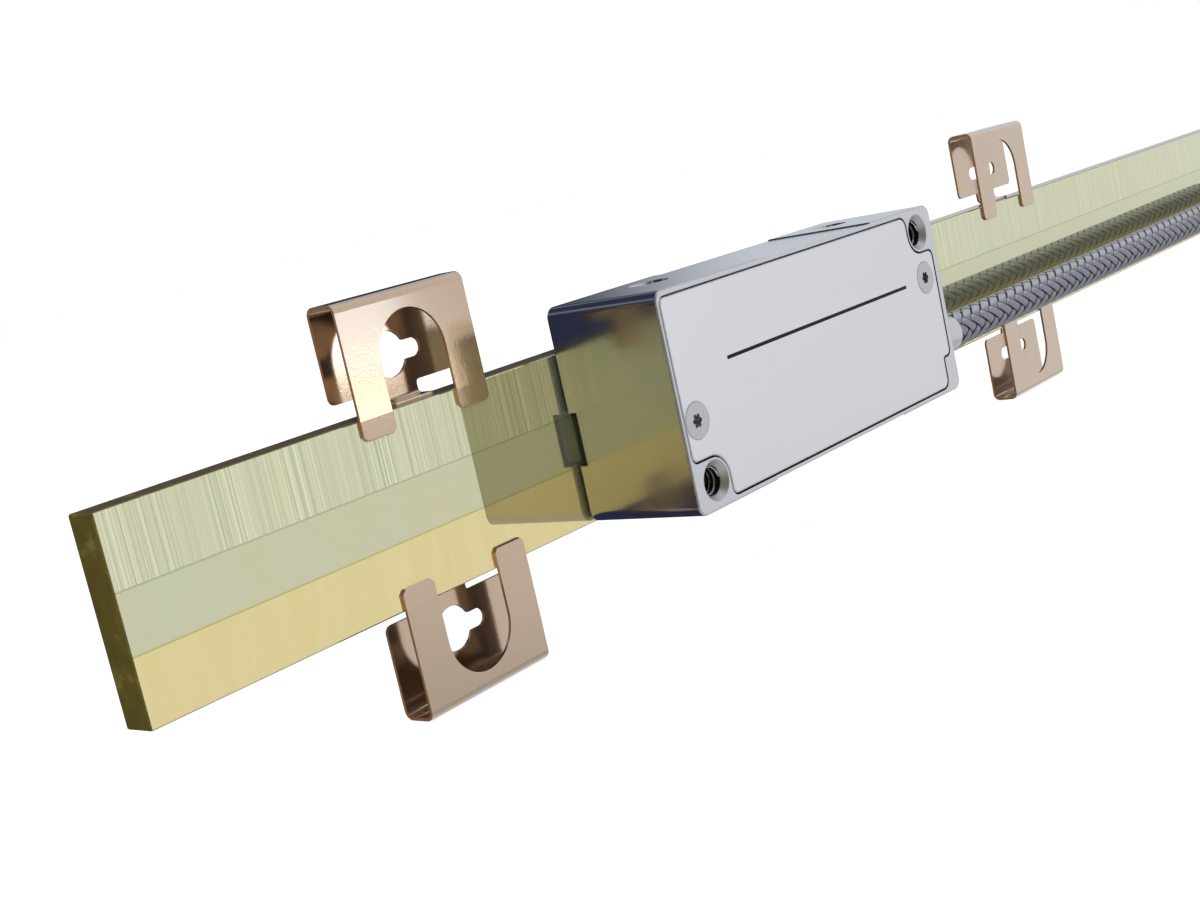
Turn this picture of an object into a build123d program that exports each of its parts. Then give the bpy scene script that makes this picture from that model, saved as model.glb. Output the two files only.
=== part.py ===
from build123d import *
import os
from math import cos, degrees, pi, radians, sin, tan

# Exposed linear encoder, in millimetres.
# X runs along the scale, +Y points into the machine face that carries it, +Z is up.
# The origin is the middle of the scale's back face, so all of it stands in front, at -Y.
# A size called "ahead" is a distance forwards from that machine face.

# Measuring scale
measuring_length = 240.0
scale_overrun = 14.0  # glass beyond the measuring length, each end
scale_width = 15.0
scale_thickness = 2.85
edge_break = 0.12  # polished bevel on the glass edges

# Spring clamps
sheet = 0.25
clamp_width = 13.9
clamp_inset = 30.5  # from the scale's end to the middle of the first clamp
clamp_reach = 8.9  # how far a clamp stands out beyond the scale's edge
clamp_bend = 0.75  # outer radius of the two bends
leg_width = 3.4
leg_grip = 1.7  # how far a leg reaches over the glass
leg_tip_cut = 0.4
tip_bevel = 0.08
arch_web = 1.4  # metal between the arch and the bent edge
back_plate_gap = 1.3  # from the back plate's end to the scale's edge
back_corner = 0.6
keyhole_diameter = 3.7
keyhole_slot_width = 1.5
keyhole_slot_length = 6.9
keyhole_corner = 0.2
keyhole_drop = 5.05  # from the clamp's outer edge to the keyhole's middle
tab_width = 4.4
tab_length = 1.95  # how far the bent tab lies on the scale's edge
tab_bend = 0.6
tab_corner = 0.3

# Scanning head
air_gap = 0.38
head_length = 46.0
head_height = 18.8
head_depth = 11.8
head_corner = 1.0
head_edge_break = 0.12
head_rest_x = -65.0
head_sink = 7.4  # from the scale's middle line down to the head's lower face
relief_depth = 0.12  # shallow relief milled into the upper and lower faces
relief_start = 11.5
upper_relief_start = 15.2

# Screw holes of the head, measured from its left and lower faces
mount_hole_inset = 3.0
mount_hole_rise = 2.4
thread_core = 2.5
countersink = 3.5
side_hole_start = 9.0
side_hole_inset = 7.0  # second hole, from the right face
side_hole_back = 4.4
side_hole_depth = 4.0

# Cover plate, its gasket and its screws, measured from the head's left and lower faces
cover_thickness = 1.0
cover_gap = 0.12
cover_left = 0.45
cover_right_margin = 0.95
cover_bottom = 0.55
cover_top_margin = 0.6
cover_corner = 0.65
cover_wide_corner = 0.95
cover_edge_break = 0.1
hole_land = 2.05  # radius of the land that stays round a mounting hole
step_margin = 2.35
step_height = 3.6
step_corner = 0.35
gasket_thickness = 0.3
gasket_inset = 0.15
low_screw_x = 2.15
low_screw_z = 7.7
high_screw_inset = 3.1  # from the right face
high_screw_drop = 6.95  # from the upper face
cover_screw_head = 3.1
sink_angle = 90
cover_screw_core = 1.6
cover_screw_length = 4.5
lobe_count = 6
lobe_circle = 0.42
lobe_radius = 0.2
lobe_depth = 0.55
screw_clearance = 0.05

# Pocket of the housing
wall = 1.7
back_wall = 2.3
pocket_corner = 0.8
boss_radius = 1.55
pillar_wall = 0.75

# Scanning optics in the housing's back groove
groove_height = 4.65
groove_depth = 0.95
reticle_margin = 1.4  # from each end of the head
reticle_thickness = 0.8
reticle_clearance = 0.1
window_length = 18.0
window_height = 3.2
carrier_length = 22.0
carrier_height = 6.4
carrier_depth = 4.2
carrier_corner = 0.5
well_clearance = 0.5
lamp_offset = 6.0
detector_offset = 3.2
lens_diameter = 3.0
lens_thickness = 1.2
lens_edge = 0.5
lens_lip = 0.4
lamp_length = 1.6
lamp_width = 0.8
lamp_depth = 0.7

# Circuit board
board_left = 6.4
board_right_margin = 9.6
board_bottom = 2.7
board_top_margin = 3.1
board_thickness = 0.8
small_screw_inset = 2.0  # from the board's ends
small_screw_drop = 2.5  # from the board's upper edge
small_screw_head = 2.4
small_screw_head_depth = 0.5
small_screw_core = 1.4
small_screw_length = 3.0
small_screw_socket = 0.25
post_radius = 1.3
detector_length = 7.0
detector_height = 3.0
detector_depth = 0.6
signal_chip_size = 5.0
signal_chip_depth = 0.9
plug_length = 2.6
plug_height = 5.0
plug_depth = 1.4
plug_rise = 5.3

# Cable exit
cable_diameter = 3.8
cable_inset = 6.12  # from the head's back face to the cable's middle
cable_rise = 4.15  # from the head's lower face
ferrule_diameter = 3.5
ferrule_reach = 12.0  # how far the ferrule stands out of the head
ferrule_inside = 8.0
ferrule_bevel = 0.25
collar_diameter = 4.4
collar_length = 1.0
clamp_post_inset = 5.6  # from the head's right face
clamp_post_above = 3.5  # above the cable's middle
clamp_plate_width = 2.4
clamp_plate_depth = 0.8
wire_diameter = 0.5
wire_count = 4
wire_spacing = 0.62

# Cable coil and its tie, on the surface that the lower clamps stand on
coil_bevel = 1.0
tie_thickness = 0.3
tie_width = 5.0
coil_radius = 22.8
coil_columns = 3
coil_layers = 2
coil_entry_turn = 45.0  # direction of the cable where it meets the coil, degrees towards the front
coil_stub = 15.5

# Round connector, measured along it from the end of the cable
connector_ahead = 85.6
connector_start = 63.4
relief_length = 12.0
relief_start_radius = 2.4
relief_end_radius = 3.6
shell_radius = 6.0
shell_length = 16.0
shell_taper = 2.5
shell_bevel = 0.5
neck_radius = 4.8
neck_length = 12.0
neck_bore = 4.1
neck_lip = 0.3
neck_lip_length = 0.8
grip_count = 8
grip_radius = 0.7
grip_margin = 1.5
ring_radius = 7.25
ring_length = 8.0
ring_bevel = 0.5
thread_radius = 5.95
thread_length = 4.0
ring_clearance = 0.08
ring_end_gap = 0.3
flute_count = 14
flute_radius = 0.85
insert_length = 5.5
insert_clearance = 0.03
pin_radius = 0.4
pin_circle = 2.75
pin_count = 7
pin_length = 4.0

# Places worked out from the sizes above
scale_length = measuring_length + 2 * scale_overrun
half_scale = scale_width / 2
clamp_pitch = scale_length / 2 - clamp_inset
leg_front = scale_thickness + sheet
clamp_top = half_scale + clamp_reach
floor_z = -clamp_top
head_back = scale_thickness + air_gap
head_front = head_back + head_depth
head_left = head_rest_x - head_length / 2
head_right = head_rest_x + head_length / 2
head_low = -head_sink
head_high = head_low + head_height
scale_rise = -head_low  # the scale's middle line above the head's lower face
cover_back = head_front - cover_thickness
ledge = cover_back - gasket_thickness
pocket_floor = head_back + back_wall
side_boss_front = head_back + side_hole_back + thread_core / 2 + pillar_wall
board_back = pocket_floor + carrier_depth
board_front = board_back + board_thickness
board_length = head_length - board_left - board_right_margin
board_height = head_height - board_bottom - board_top_margin
board_rise = board_bottom + board_height / 2
optics_x = board_left + board_length / 2
relief_end = head_length - relief_start
side_hole_end = head_length - side_hole_inset
cover_right = head_length - cover_right_margin
step_left = head_length - step_margin
cable_ahead = head_back + cable_inset
cable_z = head_low + cable_rise
cover_top = head_height - cover_top_margin
low_hole = (mount_hole_inset, mount_hole_rise)
high_hole = (head_length - mount_hole_inset, head_height - mount_hole_rise)
low_screw = (low_screw_x, low_screw_z)
high_screw = (head_length - high_screw_inset, head_height - high_screw_drop)
small_screw_rise = board_bottom + board_height - small_screw_drop
small_screws = [
    (board_left + small_screw_inset, small_screw_rise),
    (board_left + board_length - small_screw_inset, small_screw_rise),
]
clamp_post = (head_length - clamp_post_inset, cable_rise + clamp_post_above)
ferrule_start = head_right - ferrule_inside
ferrule_end = head_right + ferrule_reach
ferrule_ahead = cable_ahead + ferrule_diameter / 2
lamp_spot = (optics_x - lamp_offset, scale_rise)
detector_spot = (optics_x + detector_offset, scale_rise)
inwards = (Align.CENTER, Align.CENTER, Align.MAX)
outwards = (Align.CENTER, Align.CENTER, Align.MIN)
piece_count = []


def finish(piece, label):
    """Label a finished piece and write its STEP file."""
    piece.part.label = label
    export_step(piece.part, f"parts/{label}.step")
    piece_count.append(label)


def head_plane(ahead):
    """Plane that faces forwards, its origin over the head's lower left corner."""
    return Plane(origin=(head_left, -ahead, head_low), x_dir=(1, 0, 0), z_dir=(0, -1, 0))


os.makedirs("parts", exist_ok=True)

# Measuring scale: a polished bar of glass ceramic
with BuildPart() as measuring_scale:
    with BuildSketch(Plane.XZ):
        Rectangle(scale_length, scale_width)
    extrude(amount=scale_thickness)
    chamfer(measuring_scale.edges(), edge_break)
finish(measuring_scale, "measuring_scale")

# Spring clamp, drawn once at the middle of the upper edge: a U of sheet,
# with an arch between two legs in front and the slotted plate behind
keyhole_z = clamp_top - keyhole_drop
arch_radius = clamp_width / 2 - leg_width
arch_z = clamp_top - sheet - arch_web - arch_radius
leg_end = half_scale - leg_grip
plate_end = half_scale + back_plate_gap
with BuildPart() as spring_clamp:
    with BuildSketch(Plane.YZ.offset(-clamp_width / 2)):
        with BuildLine():
            FilletPolyline(
                (-leg_front, leg_end),
                (-leg_front, clamp_top),
                (0, clamp_top),
                (0, plate_end),
                radius=clamp_bend,
            )
            offset(amount=sheet, side=Side.RIGHT)
        make_face()
    extrude(amount=clamp_width)
    with BuildSketch(Plane.XZ.offset(leg_front)):
        with Locations((0, arch_z)):
            Circle(arch_radius)
            Rectangle(2 * arch_radius, arch_z - leg_end, align=(Align.CENTER, Align.MAX))
    extrude(amount=-sheet, mode=Mode.SUBTRACT)
    leg_corners = spring_clamp.edges().filter_by(Axis.Y).group_by(Axis.Z)[0]
    chamfer(leg_corners, leg_tip_cut)
    tip_edges = spring_clamp.edges().filter_by(Axis.X).group_by(Axis.Z)[0].group_by(Axis.Y)[0]
    chamfer(tip_edges, tip_bevel)
    plate_corners = spring_clamp.edges().filter_by(Axis.Y).filter_by_position(
        Axis.Z, plate_end - edge_break, plate_end + edge_break
    )
    fillet(plate_corners, back_corner)
    with BuildSketch(Plane.XZ) as keyhole:
        with Locations((0, keyhole_z)):
            Circle(keyhole_diameter / 2)
            SlotOverall(keyhole_slot_length, keyhole_slot_width)
        slot_joints = keyhole.vertices().sort_by(Axis.X)[2:6]
        fillet(slot_joints, keyhole_corner)
    extrude(amount=sheet, mode=Mode.SUBTRACT)
    # The tab under the keyhole is bent forwards onto the scale's edge
    with BuildSketch(Plane.YZ.offset(-tab_width / 2)):
        with BuildLine():
            FilletPolyline(
                (0, plate_end + back_corner),
                (0, half_scale),
                (-tab_length, half_scale),
                radius=tab_bend,
            )
            offset(amount=sheet, side=Side.RIGHT)
        make_face()
    extrude(amount=tab_width)
    tab_roots = (
        spring_clamp.edges()
        .filter_by(Axis.Y)
        .filter_by_position(Axis.Z, plate_end - edge_break, plate_end + edge_break)
        .filter_by_position(Axis.X, -tab_width / 2 - edge_break, tab_width / 2 + edge_break)
    )
    fillet(tab_roots, tab_corner)
    tab_front = spring_clamp.edges().filter_by(Axis.Z).filter_by_position(
        Axis.Y, -tab_length - edge_break, -tab_length + edge_break
    )
    fillet(tab_front, tab_corner)

lower_form = mirror(spring_clamp.part, about=Plane.XY)
clamp_columns = {"left": -clamp_pitch, "middle": 0.0, "right": clamp_pitch}
for column, column_x in clamp_columns.items():
    with BuildPart() as upper_clamp:
        with Locations((column_x, 0, 0)):
            add(spring_clamp.part)
    finish(upper_clamp, f"clamp_{column}_upper")
    with BuildPart() as lower_clamp:
        with Locations((column_x, 0, 0)):
            add(lower_form)
    finish(lower_clamp, f"clamp_{column}_lower")

# Outline of the cover plate: round the two mounting holes, with a step low on the right
cover_corners = [
    (low_hole[0] + hole_land, cover_bottom),
    (step_left, cover_bottom),
    (step_left, step_height),
    (cover_right, step_height),
    (cover_right, high_hole[1] - hole_land),
    (high_hole[0] - hole_land, high_hole[1] - hole_land),
    (high_hole[0] - hole_land, cover_top),
    (cover_left, cover_top),
    (cover_left, low_hole[1] + hole_land),
    (low_hole[0] + hole_land, low_hole[1] + hole_land),
]
cover_radii = [
    cover_corner,
    cover_wide_corner,
    step_corner,
    cover_corner,
    cover_corner,
    hole_land,
    cover_wide_corner,
    cover_corner,
    cover_corner,
    hole_land,
]
with BuildSketch(Plane.XY) as cover_outline:
    with BuildLine():
        FilletPolyline(*cover_corners, radius=cover_radii, close=True)
    make_face()
with BuildSketch(Plane.XY) as cover_recess:
    add(cover_outline.sketch)
    offset(amount=cover_gap)

# Outline of the pocket behind it: walls, pillars round the holes, bosses for the cover screws
pillar = hole_land + pillar_wall
with BuildSketch(Plane.XY) as pocket_outline:
    with Locations((wall, wall)):
        RectangleRounded(
            head_length - 2 * wall,
            head_height - 2 * wall,
            pocket_corner,
            align=(Align.MIN, Align.MIN),
        )
    with Locations(low_hole):
        Rectangle(2 * pillar, 2 * pillar, mode=Mode.SUBTRACT)
    with Locations(high_hole):
        Rectangle(2 * pillar, 2 * pillar, mode=Mode.SUBTRACT)
    with Locations((head_length, 0)):
        Rectangle(
            2 * (head_length - step_left + pillar_wall),
            2 * (step_height + pillar_wall),
            mode=Mode.SUBTRACT,
        )
    with Locations(low_screw, high_screw):
        Circle(boss_radius, mode=Mode.SUBTRACT)

# Head housing: a milled block with the pocket, the optics groove and its screw holes
with BuildPart() as head_housing:
    with BuildSketch(head_plane(head_back)):
        RectangleRounded(head_length, head_height, head_corner, align=(Align.MIN, Align.MIN))
    extrude(amount=head_depth)
    front_face = head_housing.faces().sort_by(Axis.Y)[0]
    back_face = head_housing.faces().sort_by(Axis.Y)[-1]
    chamfer(front_face.edges() + back_face.edges(), head_edge_break)
    with BuildSketch(head_plane(head_front)):
        add(cover_recess.sketch)
    extrude(amount=ledge - head_front, mode=Mode.SUBTRACT)
    with BuildSketch(head_plane(ledge)):
        add(pocket_outline.sketch)
    extrude(amount=pocket_floor - ledge, mode=Mode.SUBTRACT)
    # Bosses that hold the threads of the upper face clear of the pocket
    with BuildSketch(head_plane(pocket_floor)):
        with Locations(
            (side_hole_start, head_height - wall), (side_hole_end, head_height - wall)
        ):
            Rectangle(
                thread_core + 2 * pillar_wall,
                side_hole_depth,
                align=(Align.CENTER, Align.MAX),
            )
    extrude(amount=side_boss_front - pocket_floor)
    # Posts on the pocket's floor for the board and for the cable clamp
    with BuildSketch(head_plane(pocket_floor)):
        with Locations(*small_screws):
            Circle(post_radius)
    extrude(amount=board_back - pocket_floor)
    with BuildSketch(head_plane(pocket_floor)):
        with Locations(clamp_post):
            Circle(post_radius)
    extrude(amount=ferrule_ahead - pocket_floor)
    with BuildSketch(head_plane(board_back)):
        with Locations(*small_screws):
            Circle(small_screw_core / 2 + screw_clearance)
    extrude(amount=-small_screw_length, mode=Mode.SUBTRACT)
    with BuildSketch(head_plane(ferrule_ahead)):
        with Locations(clamp_post):
            Circle(small_screw_core / 2 + screw_clearance)
    extrude(amount=-small_screw_length, mode=Mode.SUBTRACT)
    # Groove along the face towards the scale, and the light window into it
    with BuildSketch(head_plane(head_back)):
        with Locations((head_length / 2, scale_rise)):
            Rectangle(head_length, groove_height)
    extrude(amount=groove_depth, mode=Mode.SUBTRACT)
    with BuildSketch(head_plane(head_back)):
        with Locations((optics_x, scale_rise)):
            Rectangle(window_length, window_height)
    extrude(amount=back_wall, mode=Mode.SUBTRACT)
    # Shallow reliefs across the upper and lower faces
    with BuildSketch(head_plane(head_back)):
        with Locations((relief_start, 0)):
            Rectangle(relief_end - relief_start, relief_depth, align=(Align.MIN, Align.MIN))
        with Locations((upper_relief_start, head_height)):
            Rectangle(relief_end - upper_relief_start, relief_depth, align=(Align.MIN, Align.MAX))
    extrude(amount=head_depth, mode=Mode.SUBTRACT)
    # Mounting threads right through the head, countersunk at the front
    with Locations(head_plane(head_front)):
        with Locations(low_hole, high_hole):
            CounterSinkHole(thread_core / 2, countersink / 2)
    # Threads in the upper face
    with Locations(Plane.XY.offset(head_high)):
        with Locations(
            (head_left + side_hole_start, -head_back - side_hole_back),
            (head_left + side_hole_end, -head_back - side_hole_back),
        ):
            CounterSinkHole(thread_core / 2, countersink / 2, depth=side_hole_depth)
    # Threads for the cover screws
    with BuildSketch(head_plane(ledge)):
        with Locations(low_screw, high_screw):
            Circle(cover_screw_core / 2 + screw_clearance)
    extrude(amount=-cover_screw_length, mode=Mode.SUBTRACT)
    # Cable bore in the right end
    with BuildSketch(Plane.YZ.offset(head_right)):
        with Locations((-cable_ahead, cable_z)):
            Circle(ferrule_diameter / 2 + screw_clearance)
    extrude(amount=-ferrule_inside, mode=Mode.SUBTRACT)
finish(head_housing, "head_housing")

# Cover plate with its countersunk screw holes
with BuildPart() as head_cover:
    with BuildSketch(head_plane(cover_back)):
        add(cover_outline.sketch)
    extrude(amount=cover_thickness)
    chamfer(head_cover.faces().sort_by(Axis.Y)[0].edges(), cover_edge_break)
    with Locations(head_plane(head_front)):
        with Locations(low_screw, high_screw):
            CounterSinkHole(
                cover_screw_core / 2 + screw_clearance,
                cover_screw_head / 2 + screw_clearance,
                counter_sink_angle=sink_angle,
            )
finish(head_cover, "head_cover")

# Gasket: a flat ring between the cover and the ledge of the housing
with BuildSketch(Plane.XY) as gasket_opening:
    add(pocket_outline.sketch)
    offset(amount=gasket_inset)
with BuildPart() as cover_gasket:
    with BuildSketch(head_plane(ledge)):
        add(cover_outline.sketch)
        offset(amount=-gasket_inset)
        add(gasket_opening.sketch, mode=Mode.SUBTRACT)
        with Locations(low_screw, high_screw):
            Circle(cover_screw_core / 2 + gasket_inset, mode=Mode.SUBTRACT)
    extrude(amount=gasket_thickness)
finish(cover_gasket, "cover_gasket")

# Cover screws: countersunk, with a six-lobe recess
with BuildPart() as cover_screws:
    with Locations(head_plane(head_front)):
        with Locations(low_screw, high_screw):
            Cone(
                cover_screw_core / 2,
                cover_screw_head / 2,
                (cover_screw_head - cover_screw_core) / 2,
                align=inwards,
            )
            Cylinder(cover_screw_core / 2, cover_screw_length, align=inwards)
    with BuildSketch(head_plane(head_front)):
        with Locations(low_screw, high_screw):
            Circle(lobe_circle)
            with PolarLocations(lobe_circle, lobe_count):
                Circle(lobe_radius)
    extrude(amount=-lobe_depth, mode=Mode.SUBTRACT)
finish(cover_screws, "cover_screws")

# Scanning reticle: a glass plate bonded to the floor of the back groove
with BuildPart() as scanning_reticle:
    with BuildSketch(head_plane(head_back + groove_depth)):
        with Locations((head_length / 2, scale_rise)):
            Rectangle(head_length - 2 * reticle_margin, groove_height - 2 * reticle_clearance)
    extrude(amount=-reticle_thickness)
finish(scanning_reticle, "scanning_reticle")

# Optics carrier: a moulded block with a round well for the lamp and a long one for the detector
with BuildPart() as optics_carrier:
    with BuildSketch(head_plane(pocket_floor)):
        with Locations((optics_x, scale_rise)):
            RectangleRounded(carrier_length, carrier_height, carrier_corner)
    extrude(amount=carrier_depth)
    with BuildSketch(head_plane(pocket_floor)):
        with Locations(lamp_spot):
            Circle(lens_diameter / 2 - lens_lip)
        with Locations(detector_spot):
            Rectangle(detector_length + 2 * well_clearance, window_height)
    extrude(amount=carrier_depth, mode=Mode.SUBTRACT)
    with BuildSketch(head_plane(pocket_floor + lens_lip)):
        with Locations(lamp_spot):
            Circle(lens_diameter / 2 + screw_clearance)
        with Locations(detector_spot):
            Rectangle(detector_length + 2 * well_clearance, detector_height + 2 * well_clearance)
    extrude(amount=carrier_depth, mode=Mode.SUBTRACT)
finish(optics_carrier, "optics_carrier")

# Condenser lens: flat towards the scale, domed towards the lamp
lens_x = head_left + lamp_spot[0]
lens_plane = Plane(
    origin=(lens_x, -pocket_floor - lens_lip, 0), x_dir=(1, 0, 0), z_dir=(0, 0, -1)
)
lens_radius = lens_diameter / 2
with BuildPart() as condenser_lens:
    with BuildSketch(lens_plane):
        with BuildLine():
            Polyline((0, lens_thickness), (0, 0), (lens_radius, 0), (lens_radius, lens_edge))
            TangentArc((0, lens_thickness), (lens_radius, lens_edge), tangent=(1, 0))
        make_face()
    revolve(axis=Axis((lens_x, 0, 0), (0, 1, 0)))
finish(condenser_lens, "condenser_lens")

# Circuit board on the carrier and the posts, with what is soldered to it
with BuildPart() as circuit_board:
    with BuildSketch(head_plane(board_back)):
        with Locations((optics_x, board_rise)):
            RectangleRounded(board_length, board_height, carrier_corner)
        with Locations(*small_screws):
            Circle(small_screw_core / 2 + screw_clearance, mode=Mode.SUBTRACT)
    extrude(amount=board_thickness)
finish(circuit_board, "circuit_board")

with BuildPart() as light_source:
    with BuildSketch(head_plane(board_back)):
        with Locations(lamp_spot):
            Rectangle(lamp_length, lamp_width)
    extrude(amount=-lamp_depth)
finish(light_source, "light_source")

with BuildPart() as photodetector_chip:
    with BuildSketch(head_plane(board_back)):
        with Locations(detector_spot):
            Rectangle(detector_length, detector_height)
    extrude(amount=-detector_depth)
finish(photodetector_chip, "photodetector_chip")

with BuildPart() as signal_chip:
    with BuildSketch(head_plane(board_front)):
        with Locations((optics_x - signal_chip_size, board_rise)):
            Rectangle(signal_chip_size, signal_chip_size)
    extrude(amount=signal_chip_depth)
finish(signal_chip, "signal_chip")

plug_spot = (optics_x + (board_length - plug_length) / 2, plug_rise)
with BuildPart() as board_connector:
    with BuildSketch(head_plane(board_front)):
        with Locations(plug_spot):
            Rectangle(plug_length, plug_height)
    extrude(amount=plug_depth)
finish(board_connector, "board_connector")


def small_screw_set(seat_ahead, spots, label):
    """Pan-head screws with a hexagon socket, their heads on a seat this far ahead."""
    with BuildPart() as screws:
        with Locations(head_plane(seat_ahead)):
            with Locations(*spots):
                Cylinder(small_screw_head / 2, small_screw_head_depth, align=outwards)
                Cylinder(small_screw_core / 2, small_screw_length, align=inwards)
        with BuildSketch(head_plane(seat_ahead + small_screw_head_depth)):
            with Locations(*spots):
                RegularPolygon(small_screw_core / 2, 6)
        extrude(amount=-small_screw_socket, mode=Mode.SUBTRACT)
    finish(screws, label)


small_screw_set(board_front, small_screws, "board_screws")

# Cable ferrule: a smooth crimped sleeve that ends in a collar inside the pocket
with BuildPart() as cable_ferrule:
    with BuildSketch(Plane.YZ.offset(ferrule_start)):
        with Locations((-cable_ahead, cable_z)):
            Circle(ferrule_diameter / 2)
    extrude(amount=ferrule_end - ferrule_start)
    chamfer(cable_ferrule.faces().sort_by(Axis.X)[-1].edges(), ferrule_bevel)
    with BuildSketch(Plane.YZ.offset(ferrule_start)):
        with Locations((-cable_ahead, cable_z)):
            Circle(collar_diameter / 2)
    extrude(amount=collar_length)
finish(cable_ferrule, "cable_ferrule")

# Cable clamp: a plate screwed to a post of the housing presses on the ferrule
plate_low = cable_z - head_low
plate_high = clamp_post[1] + post_radius
with BuildPart() as cable_clamp:
    with BuildSketch(head_plane(ferrule_ahead)):
        with Locations((clamp_post[0], (plate_low + plate_high) / 2)):
            Rectangle(clamp_plate_width, plate_high - plate_low)
        with Locations(clamp_post):
            Circle(small_screw_core / 2 + screw_clearance, mode=Mode.SUBTRACT)
    extrude(amount=clamp_plate_depth)
finish(cable_clamp, "cable_clamp")
small_screw_set(ferrule_ahead + clamp_plate_depth, [clamp_post], "cable_clamp_screw")

# Lead wires, slanting from the ferrule's inner end forwards to the board's plug
wire_end = head_left + plug_spot[0] + plug_length / 2
wire_end_ahead = board_front + plug_depth / 2
with BuildPart() as lead_wires:
    for number in range(wire_count):
        wire_z = cable_z + (number - (wire_count - 1) / 2) * wire_spacing
        with BuildSketch(Plane.YZ.offset(ferrule_start)):
            with Locations((-cable_ahead, wire_z)):
                Circle(wire_diameter / 2)
        with BuildSketch(Plane.YZ.offset(wire_end)):
            with Locations((-wire_end_ahead, wire_z)):
                Circle(wire_diameter / 2)
        loft()
finish(lead_wires, "lead_wires")


def corner_radii(route):
    """Radius at each inner corner: 0.45 of the shorter run over the tangent of half the turn."""
    points = [Vector(*point) for point in route]
    runs = [after - before for before, after in zip(points, points[1:])]
    return [
        0.45 * min(one.length, two.length) / tan(radians(one.get_angle(two) / 2))
        for one, two in zip(runs, runs[1:])
    ]


def cable_tube(route, label):
    """A round tube along straight runs joined by tangent arcs; prints its length and radii."""
    radii = corner_radii(route)
    with BuildPart() as tube:
        with BuildLine() as path:
            FilletPolyline(*route, radius=radii)
        with BuildSketch(Plane(origin=route[0], z_dir=Vector(*route[1]) - Vector(*route[0]))):
            Circle(cable_diameter / 2)
        sweep(path=path.line)
    finish(tube, label)
    length = sum(edge.length for edge in path.edges())
    section = pi * (cable_diameter / 2) ** 2
    print(label, "length", round(length, 1), "radii", [round(radius, 1) for radius in radii])
    print(label, "volume over section times length", round(tube.part.volume / section / length, 4))
    return length


# The cable runs straight past the scale, then sinks to the surface below and meets its coil
cord_rest_z = floor_z + tie_thickness + cable_diameter / 2
lead_route = [
    (ferrule_end, -cable_ahead, cable_z),
    (86.0, -cable_ahead, cable_z),
    (104.0, -17.0, cord_rest_z),
    (115.3, -28.3, cord_rest_z),
]
lead_length = cable_tube(lead_route, "cable_lead")

# Coil: the outer shape of its turns, with a straight stub where the cable joins it at each end
entry_turn = radians(coil_entry_turn)
outer_turn = coil_radius + (coil_columns - 1) / 2 * cable_diameter
coil_x = lead_route[-1][0] + coil_stub * cos(entry_turn) - outer_turn * sin(entry_turn)
coil_y = lead_route[-1][1] - coil_stub * sin(entry_turn) - outer_turn * cos(entry_turn)
coil_width = coil_columns * cable_diameter
coil_height = coil_layers * cable_diameter
coil_mid_z = floor_z + tie_thickness + coil_height / 2
exit_start = (
    coil_x - coil_stub,
    coil_y - outer_turn,
    coil_mid_z + (coil_layers - 1) / 2 * cable_diameter,
)
coil_axis = Axis((coil_x, coil_y, 0), (0, 0, 1))
section_plane = Plane(origin=(coil_x, coil_y, coil_mid_z), x_dir=(1, 0, 0), z_dir=(0, -1, 0))
with BuildPart() as cable_coil:
    with BuildSketch(section_plane) as coil_section:
        with Locations((coil_radius, 0)):
            Rectangle(coil_width, coil_height)
        chamfer(coil_section.vertices(), coil_bevel)
    revolve(axis=coil_axis)
    with BuildSketch(Plane(origin=lead_route[-1], z_dir=(cos(entry_turn), -sin(entry_turn), 0))):
        Circle(cable_diameter / 2)
    extrude(amount=coil_stub)
    with BuildSketch(Plane(origin=exit_start, z_dir=(1, 0, 0))):
        Circle(cable_diameter / 2)
    extrude(amount=coil_stub)
finish(cable_coil, "cable_coil")

# Tie: a band round the coil's section
with BuildPart() as cable_tie:
    with BuildSketch(section_plane):
        add(coil_section.sketch_local)
        offset(amount=tie_thickness, kind=Kind.INTERSECTION)
        add(coil_section.sketch_local, mode=Mode.SUBTRACT)
    revolve(axis=coil_axis, revolution_arc=degrees(tie_width / coil_radius))
finish(cable_tie, "cable_tie")

# Tail from the coil to the connector, which lies in front of it on the same surface
connector_z = floor_z + ring_radius
tail_route = [
    exit_start,
    (82.4, exit_start[1], exit_start[2]),
    (72.9, -connector_ahead, connector_z),
    (connector_start, -connector_ahead, connector_z),
]
tail_length = cable_tube(tail_route, "cable_tail")
entry_angle = 90 - coil_entry_turn
coil_turns = coil_columns * coil_layers - 1 + (90 + entry_angle) / 360
coil_length = 2 * coil_stub + coil_turns * 2 * pi * coil_radius
print("coil turns", round(coil_turns, 2), "coil length", round(coil_length, 1))
print("cable length", round(lead_length + coil_length + tail_length, 1))

# Connector: every piece is turned about the connector's axis, which points along -X
connector_axis = Axis((connector_start, -connector_ahead, connector_z), (-1, 0, 0))
turning_plane = Plane(
    origin=(connector_start, -connector_ahead, connector_z), x_dir=(-1, 0, 0), z_dir=(0, -1, 0)
)
shell_end = relief_length + shell_length
neck_end = shell_end + neck_length
insert_start = neck_end - pin_length - insert_clearance - insert_length
insert_end = insert_start + insert_length


def cross_plane(along):
    """Plane square to the connector, facing away from the cable."""
    origin = (connector_start - along, -connector_ahead, connector_z)
    return Plane(origin=origin, x_dir=(0, 1, 0), z_dir=(-1, 0, 0))


with BuildPart() as connector_relief:
    with BuildSketch(turning_plane):
        with BuildLine():
            Polyline(
                (0, 0),
                (0, relief_start_radius),
                (relief_length, relief_end_radius),
                (relief_length, 0),
                close=True,
            )
        make_face()
    revolve(axis=connector_axis)
finish(connector_relief, "connector_relief")

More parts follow.
